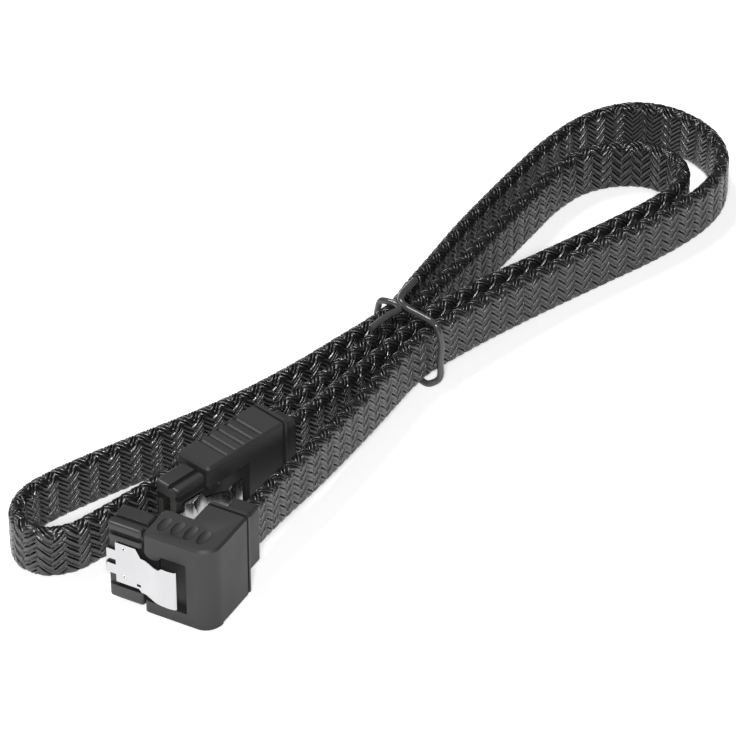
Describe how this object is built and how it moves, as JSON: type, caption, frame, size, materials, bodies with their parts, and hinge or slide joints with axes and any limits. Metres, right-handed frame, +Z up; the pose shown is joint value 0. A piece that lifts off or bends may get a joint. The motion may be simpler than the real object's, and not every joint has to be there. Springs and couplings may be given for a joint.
{
  "type": "sata data cable",
  "caption": "Flat data cable in a braided sleeve, laid up in a hank, with one right-angle and one straight latching plug.",
  "frame": {"origin": "centre of the hank's footprint, on the surface that it lies on", "axes": "+X along the hank away from the plugs, +Z up; the latch faces of both plugs look towards -Y or -X"},
  "size_m": [0.1572, 0.0606, 0.0154],
  "materials": {
    "grey_moulding": "fine matt moulded texture, dark grey",
    "black_insulator": "satin black moulding",
    "contact_gold": "gold plated spring strip",
    "stamped_steel": "bright stamped stainless strip",
    "braided_nylon": "black nylon braid with a silky sheen",
    "tie_coating": "glossy black coating over wire"
  },
  "bodies": {
    "cable": {"elbow_housing": "grey_moulding", "elbow_nose": "black_insulator", "elbow_contact_1": "contact_gold", "elbow_contact_2": "contact_gold", "elbow_contact_3": "contact_gold", "elbow_contact_4": "contact_gold", "elbow_contact_5": "contact_gold", "elbow_contact_6": "contact_gold", "elbow_contact_7": "contact_gold", "straight_housing": "grey_moulding", "straight_nose": "black_insulator", "straight_contact_1": "contact_gold", "straight_contact_2": "contact_gold", "straight_contact_3": "contact_gold", "straight_contact_4": "contact_gold", "straight_contact_5": "contact_gold", "straight_contact_6": "contact_gold", "straight_contact_7": "contact_gold", "braided_ribbon": "braided_nylon", "twist_tie": "tie_coating"},
    "elbow_latch_arm": {"elbow_latch": "stamped_steel"},
    "straight_latch_arm": {"straight_latch": "stamped_steel"}
  },
  "joints": [
    {"name": "elbow_latch_press", "type": "hinge", "parent": "cable", "child": "elbow_latch_arm", "pos_m": [-0.07195, -0.01425, 0.0077], "axis": [0, 0, 1], "range_deg": [0, 5], "stiffness_Nm_per_rad": 0.05},
    {"name": "straight_latch_press", "type": "hinge", "parent": "cable", "child": "straight_latch_arm", "pos_m": [-0.05911, -0.01484, 0.0077], "axis": [0, 0, 1], "range_deg": [0, 5], "stiffness_Nm_per_rad": 0.05}
  ]
}
